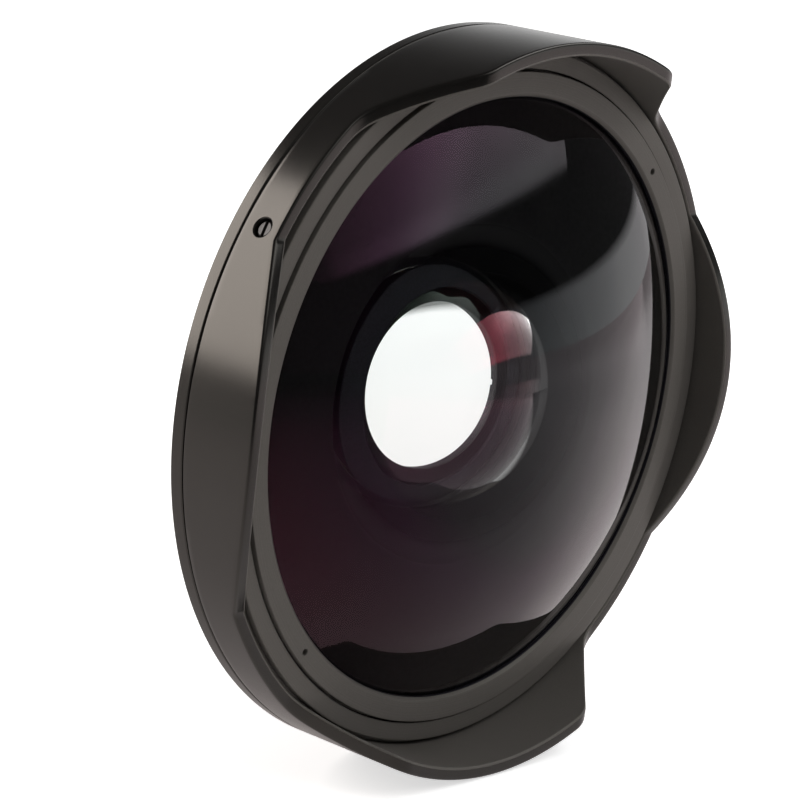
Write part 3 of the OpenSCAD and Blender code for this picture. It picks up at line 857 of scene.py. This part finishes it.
class LENS_OT_front_glass(Builder, bpy.types.Operator):
    """Builds the domed front glass with the hollow in its back"""
    bl_idname = "lens.front_glass"
    bl_label = "Front Glass"

    def execute(self, context):
        g = context.scene.lens_glass
        dome_at = g.dome_front - g.dome_r
        dome = arc(dome_at, g.dome_r, 0, math.asin(g.glass_r / g.dome_r), 96)
        hollow_r = (g.hollow_mouth_r ** 2 + g.hollow_depth ** 2) / (2 * g.hollow_depth)
        hollow_at = g.glass_back + g.hollow_depth - hollow_r
        mouth = math.acos((g.glass_back - hollow_at) / hollow_r)
        hollow = arc(hollow_at, hollow_r, mouth, 0, 64)
        edge = [(g.glass_r, g.glass_back + g.front_bevel), (g.glass_r - g.front_bevel, g.glass_back)]
        edge += [(g.glass_r * part, g.glass_back) for part in (0.75, 0.5)]
        coated_dome, coated_hollow, painted = range(3)
        kinds = [coated_dome] * (len(dome) - 1) + [painted] * (len(edge) + 1)
        kinds += [coated_hollow] * (len(hollow) - 1)
        mesh = turned("front_dome", dome + edge + hollow, 320, loop=False, finish_of=kinds)
        add_piece("front_dome", mesh, "barrel", ["front_element"],
                  finished(dome_coating, hollow_coating, lens_paint))
        return {"FINISHED"}


class LENS_OT_rear_glass(Builder, bpy.types.Operator):
    """Builds the cemented rear glass"""
    bl_idname = "lens.rear_glass"
    bl_label = "Rear Glass"

    def execute(self, context):
        g, m = context.scene.lens_glass, context.scene.lens_mount
        crown_at = g.rear_seat - math.sqrt(g.crown_r ** 2 - m.cell_lip_r ** 2)
        crown = arc(crown_at, g.crown_r, 0, math.asin(g.rear_glass_r / g.crown_r), 40)
        edge = [(g.rear_glass_r, g.rear_back + g.rear_bevel), (g.rear_glass_r - g.rear_bevel, g.rear_back)]
        flat_steps = 6
        flat = [(g.rear_glass_r * k / flat_steps, g.rear_back) for k in reversed(range(flat_steps))]
        coated, painted = range(2)
        kinds = [coated] * (len(crown) - 1) + [painted] * len(edge) + [coated] * len(flat)
        mesh = turned("rear_doublet", crown + edge + flat, 192, loop=False, finish_of=kinds)
        add_piece("rear_doublet", mesh, "barrel", ["rear_crown_element", "rear_flint_element"],
                  finished(rear_coating, lens_paint))
        return {"FINISHED"}


class LENS_OT_rear_cell(Builder, bpy.types.Operator):
    """Builds the rear cell and the slotted ring that closes it"""
    bl_idname = "lens.rear_cell"
    bl_label = "Rear Cell"

    def execute(self, context):
        m, e = context.scene.lens_mount, context.scene.lens_barrel.soft_edge
        back, lead, flange_r = rear("rear_cell"), front("rear_cell"), reach("rear_cell")
        tube = [(m.cell_bore_r, back, e), (flange_r, back, e * 1.4), (flange_r, m.cell_flange, e),
                (m.cell_r, m.cell_flange, 0), (m.cell_r, lead, e * 1.4), (m.cell_lip_r, lead, e * 1.4),
                (m.cell_lip_r, m.cell_lip, 0), (m.cell_bore_r, m.cell_lip, 0)]
        mesh = turned("cell_tube", softened(tube), 240)
        add_piece("cell_tube", mesh, "barrel", ["rear_cell"], finished(matt_black))
        near, far = rear("rear_retaining_ring"), front("rear_retaining_ring")
        ring_r = reach("rear_retaining_ring")
        ring = [(m.rear_opening_r, near, e * 1.6), (ring_r, near, e), (ring_r, far, 0),
                (m.rear_opening_r, far, e)]
        slot_size = (5 * ring_r, 2 * m.rear_slot_depth, m.rear_slot_w)
        slot = box_mesh("slot", slot_size, Matrix.Translation((0, -near, 0)))
        mesh = cut(turned("closing_ring", softened(ring), 240), [slot])
        add_piece("closing_ring", mesh, "barrel", ["rear_retaining_ring"],
                  finished(matt_black))
        return {"FINISHED"}


class LENS_OT_mount(Builder, bpy.types.Operator):
    """Builds the threaded rear mount with its shoulder and countersunk web"""
    bl_idname = "lens.mount"
    bl_label = "Rear Mount"

    def execute(self, context):
        m, b = context.scene.lens_mount, context.scene.lens_barrel
        e, top, end = b.soft_edge, b.back, -m.thread_h
        flat, runout, plain = 0.12, m.pitch / 2, 0.3 * MM

        def crest(r, s, turn):
            """Radius on the thread, which runs out at both ends."""
            if abs(r - m.thread_r) > TINY:
                return r
            phase = (s / m.pitch - turn / (2 * math.pi)) % 1
            depth = min(max((abs(phase - 0.5) * 2 - flat) / (1 - 2 * flat), 0), 1)
            fade = min(-s / runout, (s - end - plain) / runout, 1)
            return r - m.thread_depth * depth * max(fade, 0)

        shoulder = softened([(m.web_r, top, e), (m.shoulder_r, top, e), (m.shoulder_r, 0, e * 1.6),
                             (m.thread_r + 0.1 * MM, 0, 0)])
        cut_length, rows_per_turn = m.thread_h - m.thread_lead, 12
        rows = round(cut_length / m.pitch * rows_per_turn)
        thread = [(m.thread_r, -cut_length * k / rows) for k in range(rows + 1)]
        tube_bevel, web_bevel = 0.2 * MM, 0.15 * MM
        tail = [(m.thread_r - m.thread_lead, end), (m.tube_r + tube_bevel, end), (m.tube_r, end + tube_bevel),
                (m.tube_r, m.web_back), (m.web_r + web_bevel, m.web_back), (m.web_r, m.web_back + web_bevel)]
        mesh = turned("mount_body", shoulder + thread + tail, 288, relief=crest)
        mesh = cut(mesh, mount_drills(m, m.web_back - 0.7 * MM, top + 1 * MM))
        head_r = m.screw_d * 0.9 + m.head_play
        start, straight = m.web_back - 0.8 * MM, m.web_back + 0.05 * MM
        sink = [(0, start), (head_r, start), (head_r, straight), (0, m.web_back + head_r)]
        mesh = cut(mesh, bits(sink, 48, round_axis(m.screw_circle_r, MOUNT_SCREWS)))
        add_piece("mount_body", mesh, "barrel", ["rear_mount_ring"], finished(black_anodise))
        return {"FINISHED"}


class LENS_OT_small_parts(Builder, bpy.types.Operator):
    """Gives the seals, shim, baffle and mount screws their finishes"""
    bl_idname = "lens.small_parts"
    bl_label = "Small Parts"

    def execute(self, context):
        looks = {"front_gasket": soft_rubber, "rear_seal": soft_rubber, "cell_shim": rolled_brass,
                 "baffle_ring": matt_black}
        for i in range(len(MOUNT_SCREWS)):
            looks["mount_screw_%d" % (i + 1)] = blackened_steel
        for node, look in looks.items():
            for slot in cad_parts[node].material_slots:
                slot.material = finished(look)[0]
        return {"FINISHED"}


class LENS_OT_stage(Builder, bpy.types.Operator):
    """Sets the pale floor, the soft lights, the surroundings and the camera"""
    bl_idname = "lens.stage"
    bl_label = "Stage"

    def floor(self, s):
        """A wide pale floor under the lens."""
        bm = bmesh.new()
        bmesh.ops.create_grid(bm, x_segments=8, y_segments=8, size=s.floor_half)
        mesh = closed_mesh("floor", bm)
        for vertex in mesh.vertices:
            vertex.co.z = CAD_BOX[0][2] - s.floor_gap
        floor = bpy.data.objects.new("floor", mesh)
        bpy.context.scene.collection.objects.link(floor)
        mesh.materials.append(self.floor_paint_and_painted_light(s))

    def floor_paint_and_painted_light(self, s):
        """Paint that stays white to the eye and keeps a soft shadow; to mirrors and through the glass it
        shows painted shade and painted light by place.
        """
        f = Finish("pale_floor")
        path = f.add("ShaderNodeLightPath")
        through = path.outputs["Is Transmission Ray"]
        mirrored = f.times(path.outputs["Is Glossy Ray"], f.math("SUBTRACT", 1.0, through))
        spot = f.add("ShaderNodeSeparateXYZ", {0: f.place()})
        x, y = spot.outputs["X"], spot.outputs["Y"]
        away = f.add("ShaderNodeVectorMath", {0: f.place()}, operation="LENGTH").outputs["Value"]
        # Painted shade that only mirroring faces see: the floor darkens ahead of the lens and to both sides
        dim = f.levels(f.spread(y, 0.0, 1.0, 0.0, -0.6),
                       [(0.06, 1.0), (0.1, 0.85), (0.15, 0.65), (0.23, 0.45), (0.3, 0.38), (0.47, 0.3),
                        (0.83, 0.24), (1.0, 0.1)])
        dim = f.times(dim, f.spread(x, 0.45, 1.0, -0.45, -0.02))
        dim = f.times(dim, f.spread(x, 1.0, 0.84, 0.0, 0.06))
        # Painted light and shade seen through the glass: the floor is bright behind one slanted line and
        # ahead of another, and dim far back
        past = f.larger(f.spread(f.along(f.place(), (-0.6, 1, 0)), 0.02, 0.65, 0.0, 0.03),
                        f.spread(f.along(f.place(), (0.5, 1, 0)), 0.42, 0.02, -0.03, 0.0))
        past = f.times(past, f.spread(y, 1.0, 0.2, 0.3, 0.34))
        plain = f.spread(f.noise(30, 2.0), s.floor_white, s.floor_white + 0.02)
        # The floor's diffuse paint, with the painted shade for mirrors and for the glass laid over its colour
        shade = f.times(f.choose(mirrored, dim), f.choose(through, past))
        paint = f.add("ShaderNodeBsdfDiffuse", {"Color": f.times(plain, shade)})
        # The eye sees the floor lifted toward white away from the lens, and less by its shadow
        lift = f.times(f.spread(away, s.floor_lift, 1.0, 0.08, 0.5), f.choose(through, past))
        seen = f.times(f.larger(path.outputs["Is Camera Ray"], through), lift)
        # Painted light that only mirroring faces see: the floor glows on its right and close round the lens
        right = f.levels(f.spread(x, 0.0, 1.0, -0.01, 0.6), [(0.0, 0.0), (0.345, 0.62), (1.0, 1.0)])
        right = f.times(right, f.spread(y, 1.0, 0.4, -0.08, 0.0))
        clear = f.larger(f.spread(y, 1.0, 0.2, -0.04, 0.0), f.spread(x, 1.15, 0.0, -0.05, 0.02))
        near = f.times(f.spread(away, 1.0, 0.0, 0.12, 0.4, "SMOOTHSTEP"), clear)
        channels = []
        for side, close in zip(s.floor_right, s.floor_near):
            glint = f.blend(right, side, near, close)
            channels.append(f.math("ADD", seen, f.times(mirrored, glint)))
        colour = f.add("ShaderNodeCombineColor", dict(zip(("Red", "Green", "Blue"), channels)))
        glow = f.add("ShaderNodeEmission", {"Color": colour.outputs[0], "Strength": 1.0})
        both = f.add("ShaderNodeAddShader", {0: paint.outputs[0], 1: glow.outputs[0]})
        f.add("ShaderNodeOutputMaterial", {"Surface": both.outputs[0]})
        return f.material

    def panel(self, name, place, size, radiance, colour=(1, 1, 1), aim=None, turn=0.0, mirrored=True):
        """A rectangular soft light that faces a point, or straight down."""
        light = bpy.data.lights.new(name, "AREA")
        light.shape, light.size, light.size_y = "RECTANGLE", size[0], size[1]
        light.energy = radiance * math.pi * size[0] * size[1]
        light.color = colour
        lamp = bpy.data.objects.new(name, light)
        lamp.location = place
        lamp.rotation_euler = (0, 0, turn)
        if aim is not None:
            lamp.rotation_euler = (Vector(aim) - Vector(place)).to_track_quat("-Z", "Y").to_euler()
        lamp.visible_camera = False
        lamp.visible_glossy = mirrored
        lamp.visible_transmission = mirrored
        bpy.context.scene.collection.objects.link(lamp)
        return light

    def soften(self, light):
        """Lets a panel fade toward its ends, on a slant, and toward its front edge."""
        f = Wiring(light)
        slant, gain = 0.337, 1.8
        spot = f.add("ShaderNodeSeparateXYZ", {0: f.add("ShaderNodeNewGeometry").outputs["Parametric"]})
        across = f.math("SUBTRACT", spot.outputs["X"], f.times(spot.outputs["Y"], slant))
        ends = f.levels(across, [(0.0, 0.06), (0.053, 0.2), (0.163, 0.33), (0.253, 0.48), (0.303, 0.66),
                                 (0.343, 0.86), (0.413, 1.0), (0.483, 0.74), (0.633, 0.57), (0.783, 0.43),
                                 (0.883, 0.31)])
        deep = f.levels(spot.outputs["Y"], [(0.0, 0.0), (0.05, 0.06), (0.092, 0.36), (0.14, 0.7),
                                            (0.17, 0.74), (0.26, 0.74), (0.377, 0.58), (0.644, 0.6),
                                            (0.911, 1.0)])
        strength = f.times(f.times(ends, deep), gain)
        glow = f.add("ShaderNodeEmission", {"Color": (1, 1, 1, 1), "Strength": strength})
        f.add("ShaderNodeOutputLight", {"Surface": glow.outputs[0]})

    def surroundings(self, s):
        """White low on the right and behind, dark above; pure white straight to the camera."""
        world = bpy.data.worlds.new("studio")
        bpy.context.scene.world = world
        f = Wiring(world)
        way = f.add("ShaderNodeTexCoord").outputs["Generated"]
        height = f.add("ShaderNodeSeparateXYZ", {0: way}).outputs["Z"]
        # The wall stands on the right, below a tilted horizon, and is dimmer toward the back
        low = f.spread(f.along(way, (0.0966, -0.119, -1)), 0.0, 1.0, -0.016, 0.016)
        wall = f.times(low, f.spread(f.along(way, (1, 0, 0)), 0.0, s.wall, 0.25, 0.8))
        wall = f.times(wall, f.spread(f.along(way, (0, 1, 0)), 1.0, 0.66, -0.2, 0.08))
        # The glow behind the lens fades with its height
        falloff = f.levels(height, [(0.0, 1.0), (0.09, 1.0), (0.24, 0.68), (0.39, 0.36), (0.515, 0.2),
                                    (0.63, 0.08), (0.71, 0.02)])
        rear_glow = f.times(falloff, f.spread(f.along(way, (0.5, 0.866, 0)), 0.0, 1.0, 0.68, 0.92))
        # Through the glass the wall is dim
        path = f.add("ShaderNodeLightPath")
        behind = f.spread(f.along(way, (0, 1, 0)), 0.4, 0.04, -0.5, -0.2)
        wall = f.times(wall, f.choose(path.outputs["Is Transmission Ray"], behind))
        light = f.larger(f.larger(wall, rear_glow), s.ambient)
        strength = f.larger(light, path.outputs["Is Camera Ray"])
        shade = f.add("ShaderNodeBackground", {"Color": (1, 1, 1, 1), "Strength": strength})
        f.add("ShaderNodeOutputWorld", {"Surface": shade.outputs[0]})

    def camera(self, s):
        """The camera, rolled a little about its line of sight."""
        turn, rise, roll = s.camera_turn, s.camera_rise, s.camera_roll
        back = Vector((math.sin(turn) * math.cos(rise), -math.cos(turn) * math.cos(rise), math.sin(rise)))
        level_way = Vector((math.cos(turn), math.sin(turn), 0))
        upright = back.cross(level_way)
        across = math.cos(roll) * level_way + math.sin(roll) * upright
        up = -math.sin(roll) * level_way + math.cos(roll) * upright
        lens = bpy.data.cameras.new("camera")
        lens.lens, lens.sensor_width, lens.sensor_fit = s.camera_lens, 36, "HORIZONTAL"
        lens.clip_start = 0.01
        eye = bpy.data.objects.new("camera", lens)
        place = Matrix((across, up, back)).transposed().to_4x4()
        place.translation = Vector(s.camera_target) + back * s.camera_far
        eye.matrix_world = place
        bpy.context.scene.collection.objects.link(eye)
        bpy.context.scene.camera = eye

    def execute(self, context):
        s = context.scene.lens_stage
        context.scene.view_settings.view_transform = "Standard"
        self.floor(s)
        self.soften(self.panel("key", s.key_place, s.key_size, s.key, turn=s.key_turn))
        self.panel("rear_left", s.side_place, s.side_size, s.side, s.side_tint, aim=s.side_aim)
        self.panel("fill", s.fill_place, s.fill_size, s.fill, mirrored=False)
        self.surroundings(s)
        self.camera(s)
        return {"FINISHED"}


STEPS = (LENS_OT_hood, LENS_OT_hood_screws, LENS_OT_barrel, LENS_OT_front_ring, LENS_OT_front_glass,
         LENS_OT_rear_glass, LENS_OT_rear_cell, LENS_OT_mount, LENS_OT_small_parts, LENS_OT_stage)
GROUPS = {"lens_hood": HoodSettings, "lens_barrel": BarrelSettings, "lens_glass": GlassSettings,
          "lens_mount": MountSettings, "lens_finish": FinishSettings, "lens_stage": StageSettings}


class LENS_PT_panel(bpy.types.Panel):
    """Lists the settings and the build steps"""
    bl_idname = "LENS_PT_panel"
    bl_label = "Fisheye Converter Lens"
    bl_space_type = "VIEW_3D"
    bl_region_type = "UI"
    bl_category = "Lens"

    def draw(self, context):
        for step in STEPS:
            self.layout.operator(step.bl_idname)
        for group, kind in GROUPS.items():
            box = self.layout.box()
            box.label(text=kind.__doc__)
            for name in kind.__annotations__:
                box.prop(getattr(context.scene, group), name)


def register():
    """Registers the settings, the build steps and the panel."""
    for group, kind in GROUPS.items():
        bpy.utils.register_class(kind)
        setattr(bpy.types.Scene, group, PointerProperty(type=kind))
    for step in STEPS:
        bpy.utils.register_class(step)
    bpy.utils.register_class(LENS_PT_panel)


def unregister():
    """Takes them away again in reverse order."""
    bpy.utils.unregister_class(LENS_PT_panel)
    for step in reversed(STEPS):
        bpy.utils.unregister_class(step)
    for group, kind in reversed(list(GROUPS.items())):
        delattr(bpy.types.Scene, group)
        bpy.utils.unregister_class(kind)


def main():
    """Builds the lens step by step."""
    register()
    for step in STEPS:
        getattr(bpy.ops.lens, step.bl_idname.split(".")[1])()


if __name__ == "__main__":
    main()
